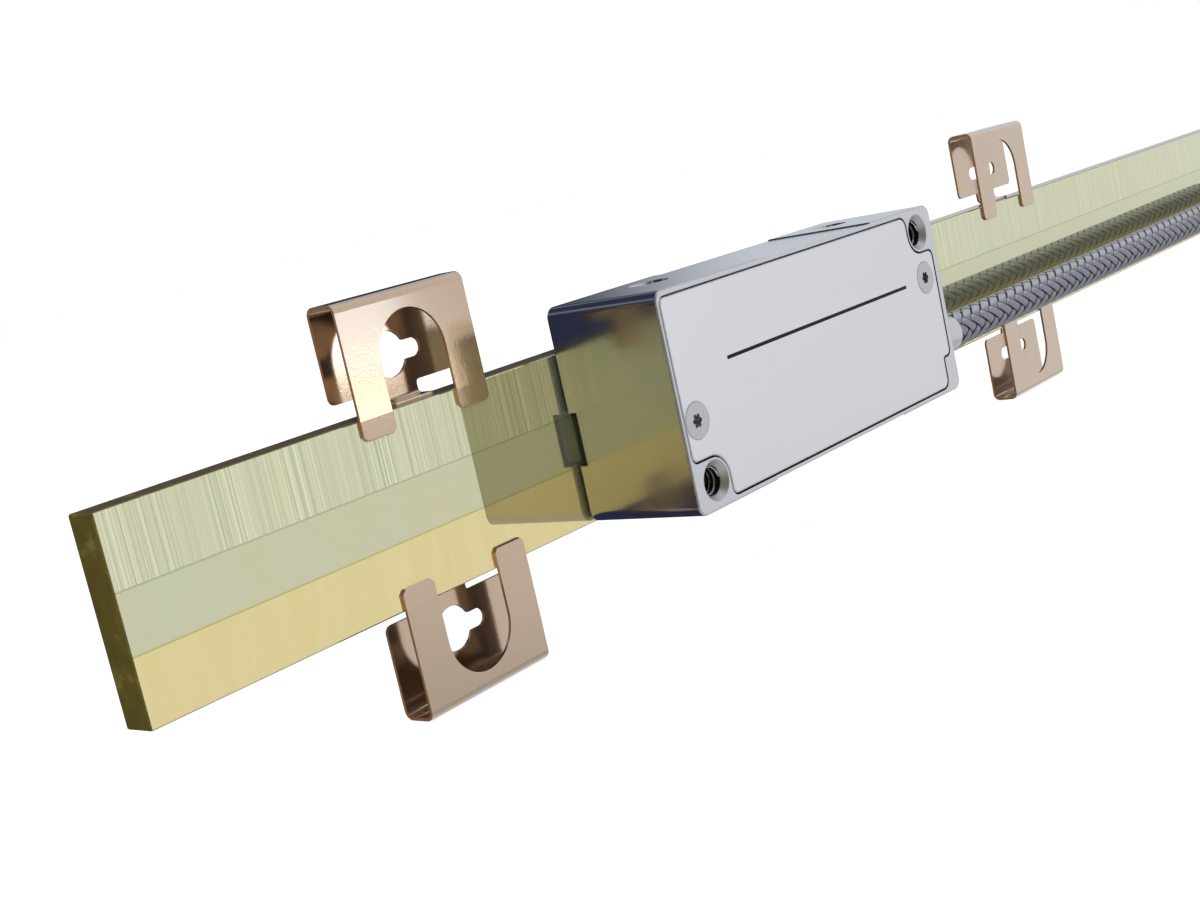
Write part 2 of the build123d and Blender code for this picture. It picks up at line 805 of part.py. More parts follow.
# Shell: a grooved grip, then the neck that carries the coupling ring and holds the insert
with BuildPart() as connector_shell:
    with BuildSketch(turning_plane):
        with BuildLine():
            Polyline(
                (relief_length, 0),
                (relief_length, relief_end_radius),
                (relief_length + shell_taper, shell_radius),
                (shell_end - shell_bevel, shell_radius),
                (shell_end, shell_radius - shell_bevel),
                (shell_end, neck_radius),
                (neck_end - neck_lip_length, neck_radius),
                (neck_end - neck_lip_length, neck_radius + neck_lip),
                (neck_end, neck_radius + neck_lip),
                (neck_end, neck_bore),
                (insert_start, neck_bore),
                (insert_start, 0),
                close=True,
            )
        make_face()
    revolve(axis=connector_axis)
    with BuildSketch(cross_plane(relief_length + shell_taper + grip_margin)):
        with PolarLocations(shell_radius, grip_count):
            Circle(grip_radius)
    extrude(amount=shell_length - shell_taper - 2 * grip_margin, mode=Mode.SUBTRACT)
finish(connector_shell, "connector_shell")

# Coupling ring: fluted grip and thread collar, free to turn on the neck behind its lip
ring_start = shell_end + ring_end_gap
ring_end = ring_start + ring_length + thread_length
lip_room = neck_end - neck_lip_length - ring_end_gap
with BuildPart() as coupling_ring:
    with BuildSketch(turning_plane):
        with BuildLine():
            Polyline(
                (ring_start, neck_radius + ring_clearance),
                (ring_start, ring_radius - ring_bevel),
                (ring_start + ring_bevel, ring_radius),
                (ring_start + ring_length - ring_bevel, ring_radius),
                (ring_start + ring_length, ring_radius - ring_bevel),
                (ring_start + ring_length, thread_radius),
                (ring_end, thread_radius),
                (ring_end, neck_radius + neck_lip + 2 * ring_clearance),
                (lip_room, neck_radius + neck_lip + 2 * ring_clearance),
                (lip_room, neck_radius + ring_clearance),
                close=True,
            )
        make_face()
    revolve(axis=connector_axis)
    with BuildSketch(cross_plane(ring_start)):
        with PolarLocations(ring_radius + flute_radius / 2, flute_count):
            Circle(flute_radius)
    extrude(amount=ring_length, mode=Mode.SUBTRACT)
finish(coupling_ring, "coupling_ring")

with BuildPart() as connector_insert:
    with BuildSketch(cross_plane(insert_start)):
        Circle(neck_bore - insert_clearance)
    extrude(amount=insert_length)
finish(connector_insert, "connector_insert")

with BuildPart() as connector_pins:
    with BuildSketch(cross_plane(insert_end)):
        Circle(pin_radius)
        with PolarLocations(pin_circle, pin_count):
            Circle(pin_radius)
    extrude(amount=pin_length)
finish(connector_pins, "connector_pins")
print("pieces written", len(piece_count))
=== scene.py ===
import bpy
import math
import numpy as np
from mathutils import Matrix


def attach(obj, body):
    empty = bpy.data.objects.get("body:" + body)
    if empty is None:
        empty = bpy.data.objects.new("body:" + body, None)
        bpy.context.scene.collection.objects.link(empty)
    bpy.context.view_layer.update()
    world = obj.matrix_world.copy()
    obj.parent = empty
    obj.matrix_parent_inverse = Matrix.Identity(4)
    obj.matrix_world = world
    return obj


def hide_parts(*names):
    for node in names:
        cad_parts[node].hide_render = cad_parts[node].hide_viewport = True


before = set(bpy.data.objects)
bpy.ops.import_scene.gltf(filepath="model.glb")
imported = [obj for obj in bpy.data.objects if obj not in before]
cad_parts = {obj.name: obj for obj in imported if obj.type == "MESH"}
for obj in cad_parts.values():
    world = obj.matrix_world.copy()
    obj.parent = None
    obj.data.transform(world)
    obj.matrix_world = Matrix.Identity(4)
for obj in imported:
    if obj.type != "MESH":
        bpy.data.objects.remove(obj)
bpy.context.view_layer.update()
print("stage: frame loaded,", len(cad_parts), "nodes")

mm = 0.001


# Small tools

def linearColour(hexText):
    # an sRGB hex value as linear red, green, blue and alpha
    parts = [int(hexText[i:i + 2], 16) / 255 for i in (1, 3, 5)]
    return [p / 12.92 if p <= 0.04045 else ((p + 0.055) / 1.055) ** 2.4 for p in parts] + [1.0]


def addNode(tree, kind, settings=None, links=None):
    # one node with its settings (properties, or sockets by name or number) and its links;
    # a Map Range takes its range from sockets 1 and 2 to sockets 3 and 4, a colour Mix
    # goes from socket 6 to socket 7, and Compare tests for 1 within 2
    node = tree.nodes.new(kind)
    for name, value in (settings or {}).items():
        if name == "ramp":
            stops = node.color_ramp.elements
            while len(stops) < len(value):
                stops.new(1.0)
            for stop, (place, colour) in zip(stops, value):
                stop.position = place
                stop.color = linearColour(colour)
        elif isinstance(name, str) and hasattr(node, name):
            setattr(node, name, value)
        else:
            socket = node.inputs[name]
            isColour = isinstance(value, str) and value.startswith("#")
            socket.default_value = linearColour(value) if isColour else value
    for name, source in (links or {}).items():
        tree.links.new(source, node.inputs[name])
    return node


def newMaterial(name, shaderSettings=None):
    # a material with one Principled shader; returns it, its tree and the shader
    material = bpy.data.materials.new(name)
    material.use_nodes = True
    tree = material.node_tree
    tree.nodes.clear()
    shader = addNode(tree, "ShaderNodeBsdfPrincipled", shaderSettings)
    addNode(tree, "ShaderNodeOutputMaterial", None, {"Surface": shader.outputs[0]})
    return material, tree, shader


def linkShader(tree, shader, sources):
    # links the shader's sockets to what varies them over the surface
    for name, source in sources.items():
        tree.links.new(source, shader.inputs[name])


def perMetre(sizeInMm):
    # a texture scale that makes features of this size
    return 1000.0 / sizeInMm


def gridQuads(rows, columns, closedAlong=False, closedAcross=False):
    # the quads between neighbours on a grid of points, which wrap where it is closed
    i, j = np.meshgrid(
        np.arange(rows if closedAlong else rows - 1),
        np.arange(columns if closedAcross else columns - 1),
        indexing="ij",
    )
    nextI, nextJ = (i + 1) % rows, (j + 1) % columns
    corners = [i * columns + j, nextI * columns + j, nextI * columns + nextJ, i * columns + nextJ]
    return np.stack(corners, -1).reshape(-1, 4)


def surfaceMesh(name, points, quads, uv=None):
    # a mesh of points and quads, with a texture place for each point where one is given
    mesh = bpy.data.meshes.new(name)
    mesh.from_pydata(points.reshape(-1, 3), [], quads)
    if uv is not None:
        layer = mesh.uv_layers.new(name="UVMap")
        loops = np.empty(len(mesh.loops), np.int32)
        mesh.loops.foreach_get("vertex_index", loops)
        layer.data.foreach_set("uv", uv.reshape(-1, 2)[loops].ravel())
    return mesh


def gridMesh(name, points, closedAlong=False, closedAcross=False):
    # a mesh of the surface points[i, j]
    rows, columns = points.shape[:2]
    return surfaceMesh(name, points, gridQuads(rows, columns, closedAlong, closedAcross))


def closeEnds(points):
    # the rings of a tube, with a point at the middle of the first and of the last ring
    ends = [np.repeat(points[k].mean(0)[None, None], points.shape[1], 1) for k in (0, -1)]
    return np.concatenate([ends[0], points, ends[1]])


def addObject(name, data):
    # an object that holds a mesh, curve, camera or lamp, in the scene
    item = bpy.data.objects.new(name, data)
    bpy.context.scene.collection.objects.link(item)
    return item


def placeMesh(name, mesh, material, smooth=True):
    mesh.materials.append(material)
    mesh.polygons.foreach_set("use_smooth", np.full(len(mesh.polygons), smooth))
    mesh.update()
    return addObject(name, mesh)


def standing(right, up, back, place):
    # the matrix of a camera or lamp that stands at a place and looks away from its back
    rows = [[right[k], up[k], back[k], place[k]] for k in range(3)]
    return Matrix(rows + [[0.0, 0.0, 0.0, 1.0]])


def dress(material, *nodeNames):
    # gives CAD nodes their material
    for nodeName in nodeNames:
        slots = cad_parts[nodeName].data.materials
        slots.clear()
        slots.append(material)


# Camera, fitted to the photograph's straight edges; its place is in mm

cameraSettings = {
    "place": (-191.867, -97.281, 21.690),
    "right": (0.618142, -0.756134, -0.214855),
    "up": (0.262553, -0.059030, 0.963110),
    "back": (-0.740923, -0.651750, 0.162037),
    "lens": 50.0,
    "sensor": 36.0,
    "nearest": 5.0,
    "farthest": 20000.0,
}
cameraData = bpy.data.cameras.new("photoCamera")
cameraData.lens = cameraSettings["lens"]
cameraData.sensor_width = cameraSettings["sensor"]
cameraData.clip_start = cameraSettings["nearest"] * mm
cameraData.clip_end = cameraSettings["farthest"] * mm
camera = addObject("photoCamera", cameraData)
camera.matrix_world = standing(
    cameraSettings["right"], cameraSettings["up"], cameraSettings["back"],
    [value * mm for value in cameraSettings["place"]],
)
bpy.context.scene.camera = camera
print("stage: camera")


# Cable: one smooth line from the ferrule into a flat coil, then to the connector. Lengths in mm

cableSettings = {
    "exit": (-30.0, -9.35, -3.25),
    "lead": [
        (-30.0, -9.35, -3.25),
        (68.1, -9.35, -3.25),
        (89.0, -9.35, -3.25),
        (104.8, -17.6, -14.2),
        (115.3, -28.3, -14.2),
    ],
    "tail": [(82.4, -84.68, -10.4), (72.9, -85.6, -9.15), (63.4, -85.6, -9.15)],
    "coilCentre": (107.451, -58.069),
    "coilRadii": (26.6, 22.8, 19.0, 19.0, 22.8, 26.6),
    "coilHeights": (-14.2, -14.2, -14.2, -10.4, -10.4, -10.4),
    "entryAngle": 45.0,
    "turns": 5 + 135.0 / 360,
    "pointsPerTurn": 16,
    "stepShare": 0.22,
    "lineSteps": 12,
    "headingStep": 0.4,
    "beforeExit": 10.0,
    "leadEnd": 130.0,
    "diameter": 3.8,
    "coreDiameter": 3.3,
    "linerDiameter": 3.36,
    "tubeSides": 12,
    "tubeStep": 1.6,
    "length": 0.983,  # metres
}


def coilPoints(cable):
    # control points of the coil: an even turn clockwise seen from above, whose radius and
    # height step smoothly from one ring of the list to the next
    count = int(round(cable["turns"] * cable["pointsPerTurn"]))
    along = np.linspace(0.0, 1.0, count + 1)
    angle = np.radians(cable["entryAngle"] - 360 * cable["turns"] * along)
    ringCount = len(cable["coilRadii"])
    ring = along * ringCount
    whole = np.clip(np.round(ring), 1, ringCount - 1)
    part = np.clip((ring - whole) / cable["stepShare"] + 0.5, 0, 1)
    part = part * part * (3 - 2 * part)
    before = whole.astype(int) - 1
    after = before + 1
    radii = np.array(cable["coilRadii"])
    heights = np.array(cable["coilHeights"])
    radius = radii[before] * (1 - part) + radii[after] * part
    height = heights[before] * (1 - part) + heights[after] * part
    radius = radius / math.cos(math.pi / cable["pointsPerTurn"])
    x = cable["coilCentre"][0] + radius * np.cos(angle)
    y = cable["coilCentre"][1] + radius * np.sin(angle)
    return [tuple(p) for p in np.stack([x, y, height], -1)]


cablePoints = cableSettings["lead"] + coilPoints(cableSettings) + cableSettings["tail"]
curveData = bpy.data.curves.new("cableLine", "CURVE")
curveData.dimensions = "3D"
curveData.resolution_u = cableSettings["lineSteps"]
spline = curveData.splines.new("NURBS")
spline.points.add(len(cablePoints) - 1)
for point, place in zip(spline.points, cablePoints):
    point.co = (place[0] * mm, place[1] * mm, place[2] * mm, 1.0)
spline.order_u = 3
spline.use_endpoint_u = True
lineObject = addObject("cableLine", curveData)
lineMesh = bpy.data.meshes.new_from_object(lineObject)
centreline = np.empty(len(lineMesh.vertices) * 3, np.float32)
lineMesh.vertices.foreach_get("co", centreline)
centreline = centreline.reshape(-1, 3).astype(float)
bpy.data.objects.remove(lineObject)
bpy.data.meshes.remove(lineMesh)


class Line:
    # the cable's centreline by distance, with a side and an up direction at each place
    # (distance 0 is the exit; a short straight piece before it lies on the ferrule)
    def __init__(self, points, before):
        heading = points[1] - points[0]
        first = points[0] - before * heading / np.linalg.norm(heading)
        self.points = np.concatenate([[first], points])
        pieces = np.linalg.norm(np.diff(self.points, axis=0), axis=1)
        self.along = np.concatenate([[0], np.cumsum(pieces)]) - before
        self.length = self.along[-1]

    def at(self, distance):
        axes = [np.interp(distance, self.along, self.points[:, k]) for k in range(3)]
        return np.stack(axes, -1)

    def frameAt(self, distance):
        step = cableSettings["headingStep"] * mm
        ahead = self.at(np.clip(distance + step, 0, self.length))
        behind = self.at(np.clip(distance - step, self.along[0], self.length))
        heading = ahead - behind
        heading /= np.linalg.norm(heading, axis=-1, keepdims=True)
        side = np.cross(heading, np.array([0.0, 0.0, 1.0]))
        side /= np.linalg.norm(side, axis=-1, keepdims=True)
        up = np.cross(side, heading)
        return self.at(distance), side, up


cableLine = Line(centreline, cableSettings["beforeExit"] * mm)
print("stage: cable line", round(cableLine.length, 4), "m")

# Rubber core: matt and nearly black, a dark ground between the ribbons
coreMaterial = newMaterial("cableCoreRubber", {"Base Color": "#1b1c22", "Roughness": 0.6})[0]


def cableTube(name, end, diameter):
    # a tube: a circle carried along the centreline, closed by a point at each end
    rings = int(end / (cableSettings["tubeStep"] * mm))
    middle, side, up = cableLine.frameAt(np.linspace(0, end, rings + 1))
    angle = np.linspace(0, 2 * np.pi, cableSettings["tubeSides"], endpoint=False)[None, :, None]
    ring = np.cos(angle) * side[:, None] + np.sin(angle) * up[:, None]
    points = closeEnds(middle[:, None] + diameter / 2 * mm * ring)
    return placeMesh(name, gridMesh(name, points, closedAcross=True), coreMaterial), middle


leadEnd = cableSettings["leadEnd"] * mm
core, coreMiddle = cableTube("cableCore", cableLine.length, cableSettings["coreDiameter"])
liner = cableTube("cableLiner", leadEnd, cableSettings["linerDiameter"])[0]

# Braid, in mm: its ribbons, and how they are shaded
braidSettings = {
    "carriers": 8,  # ribbons each way
    "onFerrule": 2.9,  # how far the braid reaches back over the ferrule
    "ferruleLift": 0.12,
    "liftLength": 1.2,
    "phase": -46.0,  # degrees
    "pitch": 2.2,
    "cover": 0.92,  # share of the pitch that a ribbon fills
    "depth": 0.1,
    "swing": 2.4,  # how sharply a ribbon changes from over to under
    "crown": 0.06,
    "radius": 1.74,
    "leadGrid": (6, 4),  # steps to a crossing, and across a ribbon
    "coilGrid": (3, 1),
    "edge": (0.72, 0.95),  # where painted shade darkens a ribbon, from its middle line to its edge
    "edgeShade": 0.03,
    "under": (-0.7, 0.45),  # where painted shade darkens it as it dives under another
    "wireWaves": 18.8,  # radians from the middle line to the edge: three wires
    "wireShade": 0.82,
    "paintedTopLight": (0.45, 0.85),  # how far up a face looks where painted light brightens its upper side
}

# Cable braid: tinned wire woven in flat ribbons, satin and slightly blue; its gaps look black,
# and painted shade darkens the ribbons' edges and the places where they dive under
braidMaterial, tree, shader = newMaterial("wovenWireBraid", {"Metallic": 0.55, "Roughness": 0.38})
uvAt = addNode(tree, "ShaderNodeUVMap", {"uv_map": "UVMap"})
uvParts = addNode(tree, "ShaderNodeSeparateXYZ", None, {0: uvAt.outputs[0]})
fromMiddle = addNode(
    tree, "ShaderNodeMath", {"operation": "ABSOLUTE"}, {0: uvParts.outputs["Y"]}
)
edgeFrom, edgeTo = braidSettings["edge"]
edgeShade = addNode(
    tree, "ShaderNodeMapRange",
    {
        "interpolation_type": "SMOOTHSTEP",
        1: edgeFrom, 2: edgeTo, 3: 1.0, 4: braidSettings["edgeShade"],
    },
    {0: fromMiddle.outputs[0]},
)
liftAt = addNode(tree, "ShaderNodeAttribute", {"attribute_name": "lift"})
underFrom, underTo = braidSettings["under"]
underShade = addNode(
    tree, "ShaderNodeMapRange",
    {"interpolation_type": "SMOOTHSTEP", 1: underFrom, 2: underTo, 3: 0.0, 4: 1.0},
    {0: liftAt.outputs["Fac"]},
)
shade = addNode(
    tree, "ShaderNodeMath", {"operation": "MULTIPLY"},
    {0: edgeShade.outputs[0], 1: underShade.outputs[0]},
)
# single wires 0.14 mm wide, drawn 0.2 mm so that they show
wires = addNode(
    tree, "ShaderNodeMath", {"operation": "MULTIPLY", 1: braidSettings["wireWaves"]},
    {0: uvParts.outputs["Y"]},
)
wireWave = addNode(tree, "ShaderNodeMath", {"operation": "COSINE"}, {0: wires.outputs[0]})
wireShade = addNode(
    tree, "ShaderNodeMapRange", {1: -1.0, 2: 1.0, 3: braidSettings["wireShade"], 4: 1.0},
    {0: wireWave.outputs[0]},
)
shadeAll = addNode(
    tree, "ShaderNodeMath", {"operation": "MULTIPLY"},
    {0: shade.outputs[0], 1: wireShade.outputs[0]},
)
# painted light: the upper side is drawn brighter, as if lit from above
braidNormal = addNode(tree, "ShaderNodeTexCoord").outputs["Normal"]
braidFacing = addNode(tree, "ShaderNodeSeparateXYZ", None, {0: braidNormal})
paintedTopLightFrom, paintedTopLightTo = braidSettings["paintedTopLight"]
paintedTopLight = addNode(
    tree, "ShaderNodeMapRange",
    {"interpolation_type": "SMOOTHSTEP", 1: paintedTopLightFrom, 2: paintedTopLightTo, 3: 0.0, 4: 1.0},
    {0: braidFacing.outputs["Z"]},
)
# the second colour is a painted highlight on faces that look up
wireColour = addNode(
    tree, "ShaderNodeMix", {"data_type": "RGBA", 6: "#777a88", 7: "#a3a7ae"},
    {0: paintedTopLight.outputs[0]},
)
# 040508 is painted shade along the ribbons' edges and where they dive under
braidColour = addNode(
    tree, "ShaderNodeMix", {"data_type": "RGBA", 6: "#040508"},
    {0: shadeAll.outputs[0], 7: wireColour.outputs[2]},
)
wireBump = addNode(
    tree, "ShaderNodeBump", {"Strength": 0.25, "Distance": 0.03 * mm},
    {"Height": wireWave.outputs[0]},
)
linkShader(tree, shader, {"Base Color": braidColour.outputs[2], "Normal": wireBump.outputs[0]})


def braidRibbons(name, start, end, stepsPerCrossing, across):
    # ribbons of a two over, two under braid. Carrier lines are a = N(turn - s/lay) and
    # b = N(turn + s/lay); a ribbon keeps a whole number of one and runs along the other. Its
    # radius swings between over and under, in time with the crossings.
    braid = braidSettings
    n = braid["carriers"]
    lay = n * braid["pitch"] * mm
    half = braid["cover"] / 2
    acrossAt = np.linspace(-half, half, across + 1)
    crossings = (end - start) * 2 * n / lay
    alongAt = np.linspace(0, crossings, int(crossings * stepsPerCrossing) + 1)
    travel, offset = np.meshgrid(alongAt, acrossAt, indexing="ij")
    s = np.clip(start + (travel - offset) * lay / (2 * n), start, end)
    middle, side, up = cableLine.frameAt(s)
    crown = braid["crown"] * (1 - (offset / half) ** 2)
    lifted = braid["ferruleLift"] * np.clip(-s / (braid["liftLength"] * mm), 0, 1)
    uv = np.stack([s / mm, offset / half], -1)
    ribbons = []
    for direction in (1, -1):
        for number in range(n):
            turn = (number + offset) / n + s / lay
            phase = number + n * (turn + s / lay)
            timing = 2 * np.pi * (phase - 0.5 * direction) / 4
            lift = np.tanh(braid["swing"] * np.cos(timing)) * direction
            radius = (braid["radius"] + braid["depth"] * lift + crown + lifted) * mm
            angle = 2 * np.pi * turn * direction + math.radians(braid["phase"])
            ring = np.cos(angle)[..., None] * side + np.sin(angle)[..., None] * up
            ribbon = [middle + radius[..., None] * ring, uv, lift]
            if direction < 0:
                ribbon = [values[:, ::-1] for values in ribbon]  # so that faces point outwards
            ribbons.append(ribbon)
    points, uvs, lifts = [np.stack(values) for values in zip(*ribbons)]
    rows, columns = s.shape
    quads = gridQuads(rows, columns)
    quads = np.concatenate([quads + k * rows * columns for k in range(len(ribbons))])
    mesh = surfaceMesh(name, points, quads, uvs)
    mesh.attributes.new("lift", "FLOAT", "POINT").data.foreach_set("value", lifts.ravel())
    return placeMesh(name, mesh, braidMaterial)


braidLead = braidRibbons(
    "cableBraidLead", -braidSettings["onFerrule"] * mm, leadEnd, *braidSettings["leadGrid"]
)
braidRest = braidRibbons(
    "cableBraidCoil", leadEnd, cableLine.length, *braidSettings["coilGrid"]
)
print("stage: cable braid", len(braidLead.data.polygons), len(braidRest.data.polygons))

coiledPieces = [
    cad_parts[name] for name in (
        "cable_tie", "connector_relief", "connector_shell", "coupling_ring",
        "connector_insert", "connector_pins",
    )
]
# the photograph mirrors the straight lead in the glass, and no coil
for item in [core, braidRest] + coiledPieces:
    item.visible_glossy = False
for item in (core, liner, braidLead, braidRest):
    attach(item, "head")
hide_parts("cable_lead", "cable_coil", "cable_tail")


# Materials of the CAD pieces; places and sizes in mm

# Coated glass ceramic: a polished bar. Its front carries a reflecting coating in three bands, the
# upper one with the code lines; its cut sides are dark olive and glossy
scaleSettings = {
    "front": -2.8,  # what lies before this is the coated front
    "codeBand": 2.0,  # above this are the code lines
    "lowBand": -2.4,  # below this is the low band
    "edgeLine": 0.14,
    "lineSize": 0.11,
    "groupSize": 5.0,
    "groupNoise": (0.35, 0.6),
    "weakGroup": 0.35,
    "fade": (-50.0, -10.0),
    "faded": 0.4,
    "cloudSize": 6.0,
    "streakSize": 1.3,
    "streakStretch": 0.12,
    "sideGrain": 1.5,
    "roughness": (0.12, 0.014),  # of the sides and of the front
    "metallic": (0.0, 0.86),
}
scaleMaterial, tree, shader = newMaterial("coatedGlassCeramic", {"IOR": 1.54})
objectAt = addNode(tree, "ShaderNodeTexCoord").outputs["Object"]
place = addNode(tree, "ShaderNodeSeparateXYZ", None, {0: objectAt})
isFront = addNode(
    tree, "ShaderNodeMath", {"operation": "LESS_THAN", 1: scaleSettings["front"] * mm},
    {0: place.outputs["Y"]},
)
isCode = addNode(
    tree, "ShaderNodeMath", {"operation": "GREATER_THAN", 1: scaleSettings["codeBand"] * mm},
    {0: place.outputs["Z"]},
)
isLow = addNode(
    tree, "ShaderNodeMath", {"operation": "LESS_THAN", 1: scaleSettings["lowBand"] * mm},
    {0: place.outputs["Z"]},
)
# code lines: real ones are 0.01 mm wide; drawn ten times as coarse so that they show
lineAt = addNode(
    tree, "ShaderNodeMath",
    {"operation": "MULTIPLY", 1: perMetre(scaleSettings["lineSize"])}, {0: place.outputs["X"]},
)
lineNumber = addNode(tree, "ShaderNodeMath", {"operation": "FLOOR"}, {0: lineAt.outputs[0]})
lineNoise = addNode(
    tree, "ShaderNodeTexWhiteNoise", {"noise_dimensions": "1D"}, {"W": lineNumber.outputs[0]}
)
lineTints = [
    (0.0, "#a9b494"), (0.18, "#bcc1a0"), (0.5, "#cacbad"), (0.8, "#cfcfae"), (1.0, "#e0e0c6"),
]
lineColour = addNode(
    tree, "ShaderNodeValToRGB", {"ramp": lineTints}, {0: lineNoise.outputs[0]}
)
groupAt = addNode(
    tree, "ShaderNodeMath",
    {"operation": "MULTIPLY", 1: perMetre(scaleSettings["groupSize"])}, {0: place.outputs["X"]},
)
groupNoise = addNode(
    tree, "ShaderNodeTexNoise", {"noise_dimensions": "1D", "Scale": 1.0, "Detail": 1.0},
    {"W": groupAt.outputs[0]},
)
groupFrom, groupTo = scaleSettings["groupNoise"]
groupShare = addNode(
    tree, "ShaderNodeMapRange",
    {1: groupFrom, 2: groupTo, 3: scaleSettings["weakGroup"], 4: 1.0},
    {0: groupNoise.outputs[0]},
)
# the lines are stronger in the stretch with the absolute code, left of the middle
fadeFrom, fadeTo = scaleSettings["fade"]
fade = addNode(
    tree, "ShaderNodeMapRange",
    {1: fadeFrom * mm, 2: fadeTo * mm, 3: 1.0, 4: scaleSettings["faded"]},
    {0: place.outputs["X"]},
)
lineShare = addNode(
    tree, "ShaderNodeMath", {"operation": "MULTIPLY"},
    {0: groupShare.outputs[0], 1: fade.outputs[0]},
)
codeColour = addNode(
    tree, "ShaderNodeMix", {"data_type": "RGBA", 6: "#c7c8aa"},
    {0: lineShare.outputs[0], 7: lineColour.outputs[0]},
)
# the plain band in the middle is cloudy, the low one has upright streaks
middleNoise = addNode(
    tree, "ShaderNodeTexNoise", {"Scale": perMetre(scaleSettings["cloudSize"]), "Detail": 3.0},
    {"Vector": objectAt},
)
middleColour = addNode(
    tree, "ShaderNodeMix", {"data_type": "RGBA", 6: "#c0c5a9", 7: "#c6c2a1"},
    {0: middleNoise.outputs[0]},
)
lowStretch = addNode(
    tree, "ShaderNodeMapping", {"Scale": (1.0, 1.0, scaleSettings["streakStretch"])},
    {"Vector": objectAt},
)
lowNoise = addNode(
    tree, "ShaderNodeTexNoise",
    {"Scale": perMetre(scaleSettings["streakSize"]), "Detail": 4.0, "Roughness": 0.65},
    {"Vector": lowStretch.outputs[0]},
)
lowColour = addNode(
    tree, "ShaderNodeValToRGB", {"ramp": [(0.3, "#d8c88e"), (0.5, "#d8ca95"), (0.7, "#dacd9b")]},
    {0: lowNoise.outputs[0]},
)
withCode = addNode(
    tree, "ShaderNodeMix", {"data_type": "RGBA"},
    {0: isCode.outputs[0], 6: middleColour.outputs[2], 7: codeColour.outputs[2]},
)
coating = addNode(
    tree, "ShaderNodeMix", {"data_type": "RGBA"},
    {0: isLow.outputs[0], 6: withCode.outputs[2], 7: lowColour.outputs[0]},
)
# a thin line parts the bands
for band, bandTint in (("codeBand", "#aab393"), ("lowBand", "#b8b474")):
    onLine = addNode(
        tree, "ShaderNodeMath",
        {
            "operation": "COMPARE",
            1: scaleSettings[band] * mm, 2: scaleSettings["edgeLine"] / 2 * mm,
        },
        {0: place.outputs["Z"]},
    )
    coating = addNode(
        tree, "ShaderNodeMix", {"data_type": "RGBA", 7: bandTint},
        {0: onLine.outputs[0], 6: coating.outputs[2]},
    )
sideNoise = addNode(
    tree, "ShaderNodeTexNoise", {"Scale": perMetre(scaleSettings["sideGrain"]), "Detail": 3.0},
    {"Vector": objectAt},
)
sideColour = addNode(
    tree, "ShaderNodeValToRGB",
    {"ramp": [(0.35, "#514614"), (0.62, "#594d18"), (0.75, "#74672c")]}, {0: sideNoise.outputs[0]},
)
scaleColour = addNode(
    tree, "ShaderNodeMix", {"data_type": "RGBA"},
    {0: isFront.outputs[0], 6: sideColour.outputs[0], 7: coating.outputs[2]},
)
scaleRoughness, scaleMetal = [
    addNode(tree, "ShaderNodeMapRange", {3: onSides, 4: onFront}, {0: isFront.outputs[0]})
    for onSides, onFront in (scaleSettings["roughness"], scaleSettings["metallic"])
]
linkShader(tree, shader, {
    "Base Color": scaleColour.outputs[2],
    "Metallic": scaleMetal.outputs[0],
    "Roughness": scaleRoughness.outputs[0],
})
dress(scaleMaterial, "measuring_scale")

# Spring bronze: rolled sheet, so a satin face with fine grain under a clear skin. Its stamped
# edges are redder and duller, and so is the face towards the machine. The tips of the legs lean
# back a little beyond a crease
clampSettings = {
    "grainSize": 0.15,
    "grainHeight": 0.0045,
    "crease": 7.4,  # height over or under the middle of the scale
    "lean": -0.06,  # slope of the front beyond the crease
    "front": -2.6,
    "edgeRadius": 0.06,
    "edgeFacing": (0.6, 0.9),  # how far sideways an edge looks
    "backFacing": (0.5, 0.9),
    "dullMetal": 0.45,
    "roughness": (0.09, 0.16),
}
clampMaterial, tree, shader = newMaterial(
    "springBronzeSheet", {"Coat Weight": 1.0, "Coat IOR": 1.95, "Coat Roughness": 0.1}
)
coordinates = addNode(tree, "ShaderNodeTexCoord")
place = addNode(tree, "ShaderNodeSeparateXYZ", None, {0: coordinates.outputs["Object"]})
facing = addNode(tree, "ShaderNodeSeparateXYZ", None, {0: coordinates.outputs["Normal"]})
grain = addNode(
    tree, "ShaderNodeTexNoise", {"Scale": perMetre(clampSettings["grainSize"]), "Detail": 2.0},
    {"Vector": coordinates.outputs["Object"]},
)
sideways = addNode(tree, "ShaderNodeMath", {"operation": "ABSOLUTE"}, {0: facing.outputs["X"]})
edgeFrom, edgeTo = clampSettings["edgeFacing"]
isEdge = addNode(
    tree, "ShaderNodeMapRange", {1: edgeFrom, 2: edgeTo, 3: 0.0, 4: 1.0}, {0: sideways.outputs[0]}
)
backFrom, backTo = clampSettings["backFacing"]
isBack = addNode(
    tree, "ShaderNodeMapRange", {1: backFrom, 2: backTo, 3: 0.0, 4: 1.0}, {0: facing.outputs["Y"]}
)
isDull = addNode(
    tree, "ShaderNodeMath", {"operation": "MAXIMUM"}, {0: isEdge.outputs[0], 1: isBack.outputs[0]}
)
sheetColour = addNode(
    tree, "ShaderNodeMix", {"data_type": "RGBA", 6: "#ab9277", 7: "#b69d83"},
    {0: grain.outputs[0]},
)
clampColour = addNode(
    tree, "ShaderNodeMix", {"data_type": "RGBA", 7: "#b3804f"},
    {0: isEdge.outputs[0], 6: sheetColour.outputs[2]},
)
clampMetal = addNode(
    tree, "ShaderNodeMapRange", {3: 1.0, 4: clampSettings["dullMetal"]}, {0: isDull.outputs[0]}
)
smoothest, roughest = clampSettings["roughness"]
clampRoughness = addNode(
    tree, "ShaderNodeMapRange", {3: smoothest, 4: roughest}, {0: grain.outputs[0]}
)
fromScale = addNode(tree, "ShaderNodeMath", {"operation": "ABSOLUTE"}, {0: place.outputs["Z"]})
pastCrease = addNode(
    tree, "ShaderNodeMath", {"operation": "SUBTRACT", 1: clampSettings["crease"] * mm},
    {0: fromScale.outputs[0]},
)
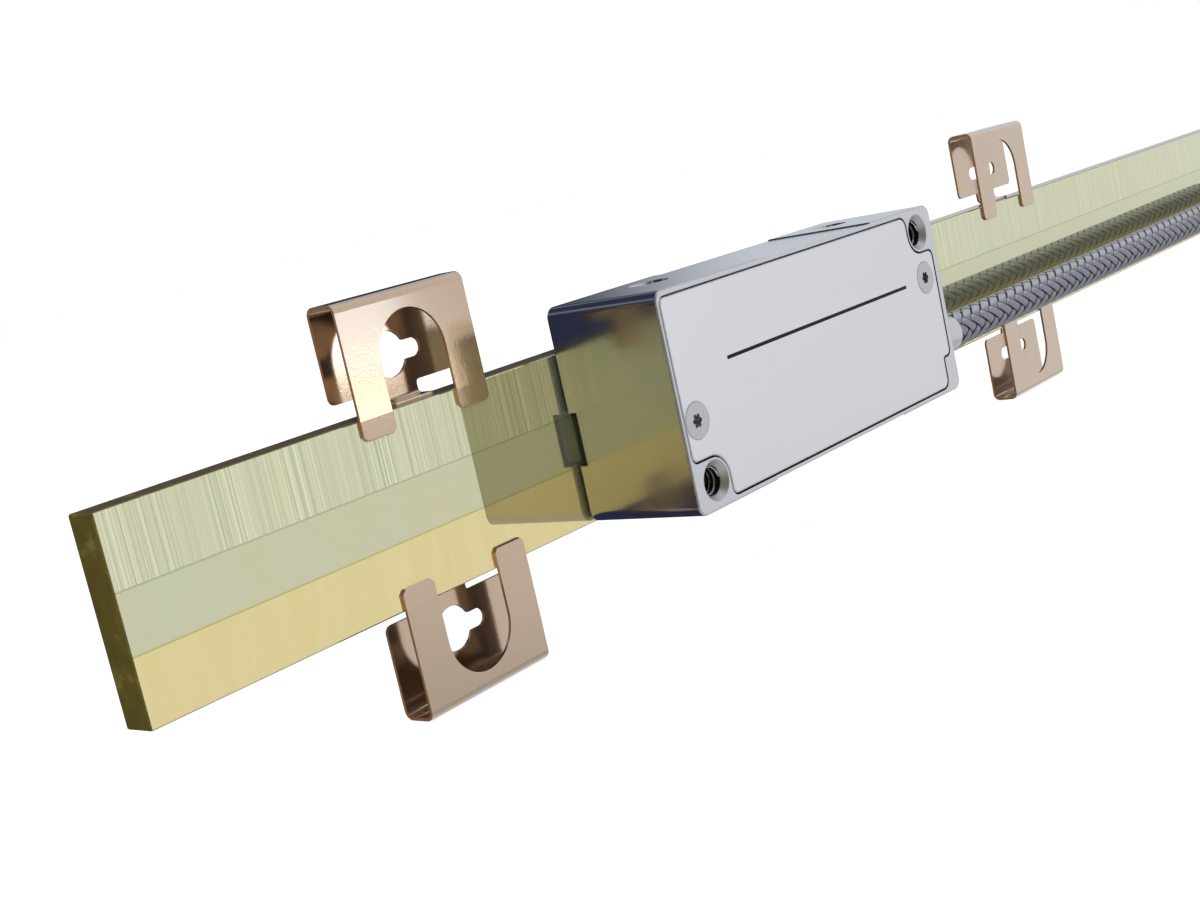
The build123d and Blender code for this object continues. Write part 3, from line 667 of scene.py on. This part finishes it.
risen = addNode(
    tree, "ShaderNodeMath", {"operation": "MAXIMUM", 1: 0.0}, {0: pastCrease.outputs[0]}
)
isFront = addNode(
    tree, "ShaderNodeMath", {"operation": "LESS_THAN", 1: clampSettings["front"] * mm},
    {0: place.outputs["Y"]},
)
leanShare = addNode(
    tree, "ShaderNodeMath", {"operation": "MULTIPLY", 1: clampSettings["lean"]},
    {0: isFront.outputs[0]},
)
leaning = addNode(
    tree, "ShaderNodeMath", {"operation": "MULTIPLY"},
    {0: risen.outputs[0], 1: leanShare.outputs[0]},
)
grainHeight = addNode(
    tree, "ShaderNodeMath",
    {"operation": "MULTIPLY_ADD", 1: clampSettings["grainHeight"] * mm},
    {0: grain.outputs[0], 2: leaning.outputs[0]},
)
roundedEdge = addNode(
    tree, "ShaderNodeBevel", {"samples": 4, "Radius": clampSettings["edgeRadius"] * mm}
)
clampBump = addNode(
    tree, "ShaderNodeBump", {"Strength": 1.0, "Distance": 1.0},
    {"Height": grainHeight.outputs[0], "Normal": roundedEdge.outputs[0]},
)
linkShader(tree, shader, {
    "Base Color": clampColour.outputs[2],
    "Metallic": clampMetal.outputs[0],
    "Roughness": clampRoughness.outputs[0],
    "Normal": clampBump.outputs[0],
})
dress(clampMaterial, *[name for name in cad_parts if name.startswith("clamp_")])

# Milled aluminium: polished end faces that mirror, and fine milling marks on the long faces; the
# countersinks are turned satin, and the walls round the cover and in the bores get painted shade
housingSettings = {
    "pocketMiddle": (-65.0, 1.6),  # along and up: where walls get painted shade
    "pocketHalf": (22.6, 8.7),
    "wallFacing": 0.5,
    "coneFacing": 0.7,  # how far forwards a countersink looks
    "coneReach": 0.15,
    "coneRoughness": 0.28,
    "polished": 0.3,
    "roughness": (0.2, 0.17),  # of the long faces and of the end faces
    "shadedWallMetal": 0.1,
    "edgeRadius": 0.15,
    "markSize": 0.12,
    "markStretch": 0.03,
}
housingMaterial, tree, shader = newMaterial("milledAluminium")
coordinates = addNode(tree, "ShaderNodeTexCoord")
place = addNode(tree, "ShaderNodeSeparateXYZ", None, {0: coordinates.outputs["Object"]})
facing = addNode(tree, "ShaderNodeSeparateXYZ", None, {0: coordinates.outputs["Normal"]})
sideways = addNode(tree, "ShaderNodeMath", {"operation": "ABSOLUTE"}, {0: facing.outputs["X"]})
forwards = addNode(tree, "ShaderNodeMath", {"operation": "ABSOLUTE"}, {0: facing.outputs["Y"]})
roughest, smoothest = housingSettings["roughness"]
polish = addNode(
    tree, "ShaderNodeMapRange",
    {1: 0.0, 2: housingSettings["polished"], 3: roughest, 4: smoothest},
    {0: sideways.outputs[0]},
)
isCone = addNode(
    tree, "ShaderNodeMath",
    {
        "operation": "COMPARE",
        1: housingSettings["coneFacing"], 2: housingSettings["coneReach"],
    },
    {0: forwards.outputs[0]},
)
housingRoughness = addNode(
    tree, "ShaderNodeMath",
    {"operation": "MULTIPLY_ADD", 1: housingSettings["coneRoughness"]},
    {0: isCone.outputs[0], 2: polish.outputs[0]},
)
isShadedWall = addNode(
    tree, "ShaderNodeMath", {"operation": "LESS_THAN", 1: housingSettings["wallFacing"]},
    {0: forwards.outputs[0]},
)
for axis, middle, reach in zip(
    "XZ", housingSettings["pocketMiddle"], housingSettings["pocketHalf"]
):
    within = addNode(
        tree, "ShaderNodeMath", {"operation": "COMPARE", 1: middle * mm, 2: reach * mm},
        {0: place.outputs[axis]},
    )
    isShadedWall = addNode(
        tree, "ShaderNodeMath", {"operation": "MULTIPLY"},
        {0: isShadedWall.outputs[0], 1: within.outputs[0]},
    )
# 0d0e12 and the low metallic are painted shade on the walls of the seam round the cover and of the
# bores
housingColour = addNode(
    tree, "ShaderNodeMix", {"data_type": "RGBA", 6: "#c0c2c8", 7: "#0d0e12"},
    {0: isShadedWall.outputs[0]},
)
housingMetal = addNode(
    tree, "ShaderNodeMapRange", {3: 1.0, 4: housingSettings["shadedWallMetal"]},
    {0: isShadedWall.outputs[0]},
)
roundedEdge = addNode(
    tree, "ShaderNodeBevel", {"samples": 4, "Radius": housingSettings["edgeRadius"] * mm}
)
marksAt = addNode(
    tree, "ShaderNodeMapping", {"Scale": (housingSettings["markStretch"], 1.0, 1.0)},
    {"Vector": coordinates.outputs["Object"]},
)
marks = addNode(
    tree, "ShaderNodeTexNoise", {"Scale": perMetre(housingSettings["markSize"]), "Detail": 3.0},
    {"Vector": marksAt.outputs[0]},
)
marksBump = addNode(
    tree, "ShaderNodeBump", {"Strength": 0.05, "Distance": 0.02 * mm},
    {"Height": marks.outputs[0], "Normal": roundedEdge.outputs[0]},
)
linkShader(tree, shader, {
    "Base Color": housingColour.outputs[2],
    "Metallic": housingMetal.outputs[0],
    "Roughness": housingRoughness.outputs[0],
    "Normal": marksBump.outputs[0],
})
dress(housingMaterial, "head_housing")

# Blasted aluminium: a fine even grain, with one plain rule line marked on it in dark grey
coverSettings = {
    "ruleLeft": -80.1,  # the rule line
    "ruleRight": -49.1,
    "ruleHeight": 4.28,
    "ruleWidth": 0.32,
    "front": -15.0,
    "grainSize": 0.16,
    "edgeRadius": 0.3,
    "roughness": (0.34, 0.44),
}
coverMaterial, tree, shader = newMaterial("blastedAluminium")
objectAt = addNode(tree, "ShaderNodeTexCoord").outputs["Object"]
place = addNode(tree, "ShaderNodeSeparateXYZ", None, {0: objectAt})
ruleMiddle = (coverSettings["ruleLeft"] + coverSettings["ruleRight"]) / 2
ruleHalf = (coverSettings["ruleRight"] - coverSettings["ruleLeft"]) / 2
onLength = addNode(
    tree, "ShaderNodeMath", {"operation": "COMPARE", 1: ruleMiddle * mm, 2: ruleHalf * mm},
    {0: place.outputs["X"]},
)
onHeight = addNode(
    tree, "ShaderNodeMath",
    {
        "operation": "COMPARE",
        1: coverSettings["ruleHeight"] * mm, 2: coverSettings["ruleWidth"] / 2 * mm,
    },
    {0: place.outputs["Z"]},
)
onFront = addNode(
    tree, "ShaderNodeMath", {"operation": "LESS_THAN", 1: coverSettings["front"] * mm},
    {0: place.outputs["Y"]},
)
onBoth = addNode(
    tree, "ShaderNodeMath", {"operation": "MULTIPLY"},
    {0: onLength.outputs[0], 1: onHeight.outputs[0]},
)
onRule = addNode(
    tree, "ShaderNodeMath", {"operation": "MULTIPLY"},
    {0: onBoth.outputs[0], 1: onFront.outputs[0]},
)
roundedEdge = addNode(
    tree, "ShaderNodeBevel", {"samples": 4, "Radius": coverSettings["edgeRadius"] * mm}
)
blast = addNode(
    tree, "ShaderNodeTexNoise", {"Scale": perMetre(coverSettings["grainSize"]), "Detail": 2.0},
    {"Vector": objectAt},
)
blastColour = addNode(
    tree, "ShaderNodeMix", {"data_type": "RGBA", 6: "#cdcfd5", 7: "#d8dae0"},
    {0: blast.outputs[0]},
)
coverColour = addNode(
    tree, "ShaderNodeMix", {"data_type": "RGBA", 7: "#0b0c12"},
    {0: onRule.outputs[0], 6: blastColour.outputs[2]},
)
# the marked line is a dull stain, not metal
coverMetal = addNode(tree, "ShaderNodeMapRange", {3: 1.0, 4: 0.0}, {0: onRule.outputs[0]})
coverSpecular = addNode(tree, "ShaderNodeMapRange", {3: 0.5, 4: 0.1}, {0: onRule.outputs[0]})
smoothest, roughest = coverSettings["roughness"]
coverRoughness = addNode(
    tree, "ShaderNodeMapRange", {3: smoothest, 4: roughest}, {0: blast.outputs[0]}
)
blastBump = addNode(
    tree, "ShaderNodeBump", {"Strength": 0.06, "Distance": 0.03 * mm},
    {"Height": blast.outputs[0], "Normal": roundedEdge.outputs[0]},
)
linkShader(tree, shader, {
    "Base Color": coverColour.outputs[2],
    "Metallic": coverMetal.outputs[0],
    "Roughness": coverRoughness.outputs[0],
    "Specular IOR Level": coverSpecular.outputs[0],
    "Normal": blastBump.outputs[0],
})
dress(coverMaterial, "head_cover")

# Finishes of the small pieces: colour, metallic, roughness and the nodes that have it. Each
# colour and gloss varies a little in a fine grain of 0.2 mm
plainFinishes = {
    # moulded rubber: matt black
    "blackRubber": ("#16161a", 0.0, 0.7, ("cover_gasket", "connector_relief")),
    # turned stainless steel: bright, with a soft gloss
    "turnedSteel": (
        "#b9bbc0", 1.0, 0.25, ("cover_screws", "board_screws", "cable_clamp_screw")
    ),
    # polished glass with a grating: olive and very glossy
    "reticleGlass": ("#a9b07a", 0.0, 0.05, ("scanning_reticle",)),
    # moulded nylon: black and half matt
    "blackPlastic": ("#1c1d20", 0.0, 0.5, ("optics_carrier", "connector_insert")),
    # ground and polished glass: pale and very glossy
    "lensGlass": ("#dfe6ea", 0.0, 0.03, ("condenser_lens",)),
    # fibreglass under solder mask: green with a soft gloss
    "greenLaminate": ("#1f6b45", 0.0, 0.4, ("circuit_board",)),
    # cast clear epoxy: warm white and glossy
    "lampEpoxy": ("#e6e0c0", 0.0, 0.2, ("light_source",)),
    # moulded epoxy: dark grey and half matt
    "chipEpoxy": ("#222326", 0.0, 0.45, ("photodetector_chip", "signal_chip")),
    # moulded polyester: off-white and half matt
    "whitePlastic": ("#e4e2dc", 0.0, 0.45, ("board_connector",)),
    # drawn and crimped steel: light, with a satin gloss
    "crimpedSteel": ("#c6c8cc", 1.0, 0.3, ("cable_ferrule", "cable_clamp")),
    # extruded insulation: ochre, with a soft gloss
    "wireInsulation": ("#b58d3a", 0.0, 0.4, ("lead_wires",)),
    # woven nylon tape: matt black
    "blackNylon": ("#1a1b1f", 0.0, 0.9, ("cable_tie",)),
    # turned brass under nickel: warm grey and glossy
    "nickelledBrass": ("#c4c3bd", 1.0, 0.22, ("connector_shell", "coupling_ring")),
    # turned brass under gold: yellow and glossy
    "goldContacts": ("#d9b45c", 1.0, 0.2, ("connector_pins",)),
}
grainSettings = {"size": 0.2, "tint": 0.18, "gloss": 0.2, "bump": 0.08, "depth": 0.03}
for finishName, (colour, metallic, roughness, finishNodes) in plainFinishes.items():
    finish, tree, shader = newMaterial(
        finishName, {"Base Color": colour, "Metallic": metallic, "Roughness": roughness}
    )
    objectAt = addNode(tree, "ShaderNodeTexCoord").outputs["Object"]
    grain = addNode(
        tree, "ShaderNodeTexNoise", {"Scale": perMetre(grainSettings["size"]), "Detail": 3.0},
        {"Vector": objectAt},
    )
    tint = addNode(
        tree, "ShaderNodeMix",
        {"data_type": "RGBA", "blend_type": "MULTIPLY", 0: grainSettings["tint"], 6: colour},
        {7: grain.outputs[0]},
    )
    smoothest = roughness * (1 - grainSettings["gloss"])
    roughest = min(1.0, roughness * (1 + grainSettings["gloss"]))
    gloss = addNode(
        tree, "ShaderNodeMapRange", {3: smoothest, 4: roughest}, {0: grain.outputs[0]}
    )
    bump = addNode(
        tree, "ShaderNodeBump",
        {"Strength": grainSettings["bump"], "Distance": grainSettings["depth"] * mm},
        {"Height": grain.outputs[0]},
    )
    linkShader(tree, shader, {
        "Base Color": tint.outputs[2], "Roughness": gloss.outputs[0], "Normal": bump.outputs[0],
    })
    dress(finish, *finishNodes)
print("stage: materials")


# Threads of the two mounting holes: ridges that wind down inside the bores. Lengths in mm

threadSettings = {
    "holes": ((-85.0, -5.0), (-45.0, 9.0)),  # along and up
    "front": -15.03,
    "startDepth": 0.75,
    "pitch": 0.5,
    "turns": 7,
    "outer": 1.25,
    "inner": 1.02,
    "width": 0.4,
    "steps": 24,
}


def threadRidge(hole):
    # a triangle carried round a helix: its base on the bore, its crest towards the axis;
    # a point closes each end
    thread = threadSettings
    t = np.linspace(0, thread["turns"], thread["turns"] * thread["steps"] + 1)
    angle = 2 * np.pi * t
    depth = thread["front"] + thread["startDepth"] + thread["pitch"] * t
    halfWidth = thread["width"] / 2
    profile = [(thread["outer"], -halfWidth), (thread["inner"], 0.0), (thread["outer"], halfWidth)]
    sides = [
        np.stack([hole[0] + r * np.cos(angle), depth + shift, hole[1] + r * np.sin(angle)], -1)
        for r, shift in profile
    ]
    return closeEnds(np.stack(sides, 1) * mm)


for number, hole in enumerate(threadSettings["holes"], 1):
    ridgeMesh = gridMesh("mountThread", threadRidge(hole), closedAcross=True)
    ridge = placeMesh(f"mountThread{number}", ridgeMesh, housingMaterial)
    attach(ridge, "head")
print("stage: threads")


# Crimped collar on the ferrule, over the start of the braid. Lengths in mm

collarSettings = {
    "from": -37.2,
    "to": -32.8,
    "outer": 2.06,
    "inner": 1.7,
    "edge": 0.22,
    "edgeSteps": 5,
    "steps": 48,
}


def collarBand():
    # a profile of distance along the axis and radius, with rounded outer edges, turned round
    # the cable's axis
    collar = collarSettings
    start, end, outer, inner, edge = [
        collar[key] for key in ("from", "to", "outer", "inner", "edge")
    ]
    bend = np.linspace(0, np.pi / 2, collar["edgeSteps"])
    rising, falling = edge * (1 - np.cos(bend)), edge * (1 - np.sin(bend))
    along = np.concatenate([[start], start + rising, end - falling, [end]])
    radius = np.concatenate([[inner], outer - falling, outer - rising, [inner]])
    angle = np.linspace(0, 2 * np.pi, collar["steps"], endpoint=False)[:, None]
    x = np.broadcast_to(along, (collar["steps"], len(along)))
    y = cableSettings["exit"][1] + radius * np.cos(angle)
    z = cableSettings["exit"][2] + radius * np.sin(angle)
    return np.stack([x, y, z], -1) * mm


collarMesh = gridMesh("ferruleCollar", collarBand(), closedAlong=True, closedAcross=True)
ferruleCollar = placeMesh("ferruleCollar", collarMesh, bpy.data.materials["crimpedSteel"])
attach(ferruleCollar, "head")
print("stage: ferrule collar")


# Floor: pale, with the object's shadow. Metal and glass don't mirror it, but the studio beyond

floorSettings = {
    "height": -16.45,
    "size": 6000.0,
    "colour": "#9a9a9a",
    "glow": 0.8,
    "bounced": "#e4e4e4",
}
floorMaterial = bpy.data.materials.new("paleFloor")
floorMaterial.use_nodes = True
tree = floorMaterial.node_tree
tree.nodes.clear()
lightPath = addNode(tree, "ShaderNodeLightPath")
bounced = addNode(tree, "ShaderNodeBsdfDiffuse", {"Color": floorSettings["bounced"]})
shadowed = addNode(tree, "ShaderNodeBsdfDiffuse", {"Color": floorSettings["colour"]})
glow = addNode(
    tree, "ShaderNodeEmission", {"Color": "#ffffff", "Strength": floorSettings["glow"]}
)
seen = addNode(tree, "ShaderNodeAddShader", None, {0: shadowed.outputs[0], 1: glow.outputs[0]})
clear = addNode(tree, "ShaderNodeBsdfTransparent")
solid = addNode(
    tree, "ShaderNodeMixShader", None,
    {0: lightPath.outputs["Is Camera Ray"], 1: bounced.outputs[0], 2: seen.outputs[0]},
)
mirrored = addNode(
    tree, "ShaderNodeMath", {"operation": "MAXIMUM"},
    {0: lightPath.outputs["Is Glossy Ray"], 1: lightPath.outputs["Is Transmission Ray"]},
)
surface = addNode(
    tree, "ShaderNodeMixShader", None,
    {0: mirrored.outputs[0], 1: solid.outputs[0], 2: clear.outputs[0]},
)
addNode(tree, "ShaderNodeOutputMaterial", None, {"Surface": surface.outputs[0]})
half = floorSettings["size"] / 2
floorPoints = np.array([
    [(x, y, floorSettings["height"]) for y in (-half, half)] for x in (-half, half)
]) * mm
floor = placeMesh("paleFloor", gridMesh("paleFloor", floorPoints), floorMaterial, False)


# Studio: white to the camera. Metal and glass mirror it as it is painted by direction: white in
# front, darker to the front left with a warm window, pale grey behind, and dark with a paler
# stripe behind on the left. Two dark brown patches to the front left, one higher and one lower,
# are painted reflections of the clamps. A bound rises from 0 to 1 along Y, Z or the turn round
# the object between its two values, and a layer shows where all its bounds have risen

worldSettings = {
    "light": 0.6,
    "front": "#ffffff",
    "bounds": {
        "behind": ("Y", 0.0, 0.2),
        "front": ("Y", 0.1, -0.1),
        "left": ("turn", 0.83, 0.74),
        "frontLeft": ("turn", 0.1, -0.3),
        "aboveStripe": ("Z", 0.52, 0.56),
        "belowStripe": ("Z", 0.66, 0.62),
        "windowFrom": ("turn", -0.64, -0.68),
        "windowTo": ("turn", -0.84, -0.80),
        "paintedClampImageLeft": ("turn", -0.754, -0.764),
        "paintedClampImageAbove": ("Z", -0.108, -0.096),
        "paintedClampImageBelow": ("Z", -0.186, -0.194),
        "ground": ("Z", -0.31, -0.38),
    },
    "layers": [
        ("#dbe0e6", ("behind",)),
        ("#34384e", ("behind", "left")),
        ("#9aa0b8", ("behind", "left", "aboveStripe", "belowStripe")),
        ("#4a4136", ("front", "frontLeft")),
        ("#f9efbc", ("front", "windowFrom", "windowTo")),
        # painted reflections: the dark images of the upper and lower clamps in the head's end face
        ("#22180e", ("front", "paintedClampImageLeft", "paintedClampImageAbove")),
        ("#140b04", ("front", "paintedClampImageLeft", "paintedClampImageBelow")),
        ("#d6d7d4", ("front", "ground")),
    ],
}
world = bpy.data.worlds.new("studioWorld")
bpy.context.scene.world = world
world.use_nodes = True
tree = world.node_tree
tree.nodes.clear()
lightPath = addNode(tree, "ShaderNodeLightPath")
direction = addNode(tree, "ShaderNodeTexCoord").outputs["Generated"]
along = addNode(tree, "ShaderNodeSeparateXYZ", None, {0: direction})
flat = addNode(
    tree, "ShaderNodeVectorMath", {"operation": "MULTIPLY", 1: (1.0, 1.0, 0.0)}, {0: direction}
)
flatLong = addNode(
    tree, "ShaderNodeVectorMath", {"operation": "NORMALIZE"}, {0: flat.outputs[0]}
)
around = addNode(tree, "ShaderNodeSeparateXYZ", None, {0: flatLong.outputs[0]})
sources = {"Y": along.outputs["Y"], "Z": along.outputs["Z"], "turn": around.outputs["X"]}
shares = {
    name: addNode(
        tree, "ShaderNodeMapRange",
        {"interpolation_type": "SMOOTHSTEP", 1: low, 2: high, 3: 0.0, 4: 1.0},
        {0: sources[source]},
    ).outputs[0]
    for name, (source, low, high) in worldSettings["bounds"].items()
}
studio = addNode(tree, "ShaderNodeRGB").outputs[0]
studio.default_value = linearColour(worldSettings["front"])
for layerColour, boundNames in worldSettings["layers"]:
    layerShare = shares[boundNames[0]]
    for boundName in boundNames[1:]:
        layerShare = addNode(
            tree, "ShaderNodeMath", {"operation": "MULTIPLY"},
            {0: layerShare, 1: shares[boundName]},
        ).outputs[0]
    studio = addNode(
        tree, "ShaderNodeMix", {"data_type": "RGBA", 7: layerColour}, {0: layerShare, 6: studio}
    ).outputs[2]
mirroredStudio = addNode(tree, "ShaderNodeBackground", {"Strength": 1.0}, {"Color": studio})
lit = addNode(
    tree, "ShaderNodeBackground", {"Color": "#ffffff", "Strength": worldSettings["light"]}
)
shown = addNode(tree, "ShaderNodeBackground", {"Color": "#ffffff", "Strength": 1.0})
unseen = addNode(
    tree, "ShaderNodeMixShader", None,
    {0: lightPath.outputs["Is Glossy Ray"], 1: lit.outputs[0], 2: mirroredStudio.outputs[0]},
)
surface = addNode(
    tree, "ShaderNodeMixShader", None,
    {0: lightPath.outputs["Is Camera Ray"], 1: unseen.outputs[0], 2: shown.outputs[0]},
)
addNode(tree, "ShaderNodeOutputWorld", None, {"Surface": surface.outputs[0]})


# Lamps in metres and watts: two soft ones, and a small one whose image shows in the left clamp

lampSettings = {
    "keyLamp": {
        "place": (-0.25, -0.45, 0.55), "aim": (0.0, 0.0, 0.0),
        "size": 0.5, "power": 4.2, "mirrored": False,
    },
    "rearLamp": {
        "place": (0.35, 0.5, 0.6), "aim": (0.0, 0.0, 0.0),
        "size": 0.6, "power": 3.0, "mirrored": False,
    },
    "clampLamp": {
        "place": (0.084, -0.223, -0.001), "aim": (-0.107, -0.003, 0.011),
        "size": 0.026, "power": 0.0085, "mirrored": True,
    },
}
for lampName, lamp in lampSettings.items():
    lampData = bpy.data.lights.new(lampName, "AREA")
    lampData.shape = "SQUARE"
    lampData.size = lamp["size"]
    lampData.energy = lamp["power"]
    back = np.array(lamp["place"]) - np.array(lamp["aim"])
    back /= np.linalg.norm(back)
    side = np.cross([0.0, 0.0, 1.0], back)
    side /= np.linalg.norm(side)
    lampObject = addObject(lampName, lampData)
    lampObject.matrix_world = standing(side, np.cross(back, side), back, lamp["place"])
    lampObject.visible_glossy = lamp["mirrored"]
bpy.context.scene.view_settings.view_transform = "Standard"
print("stage: floor, studio and lamps")
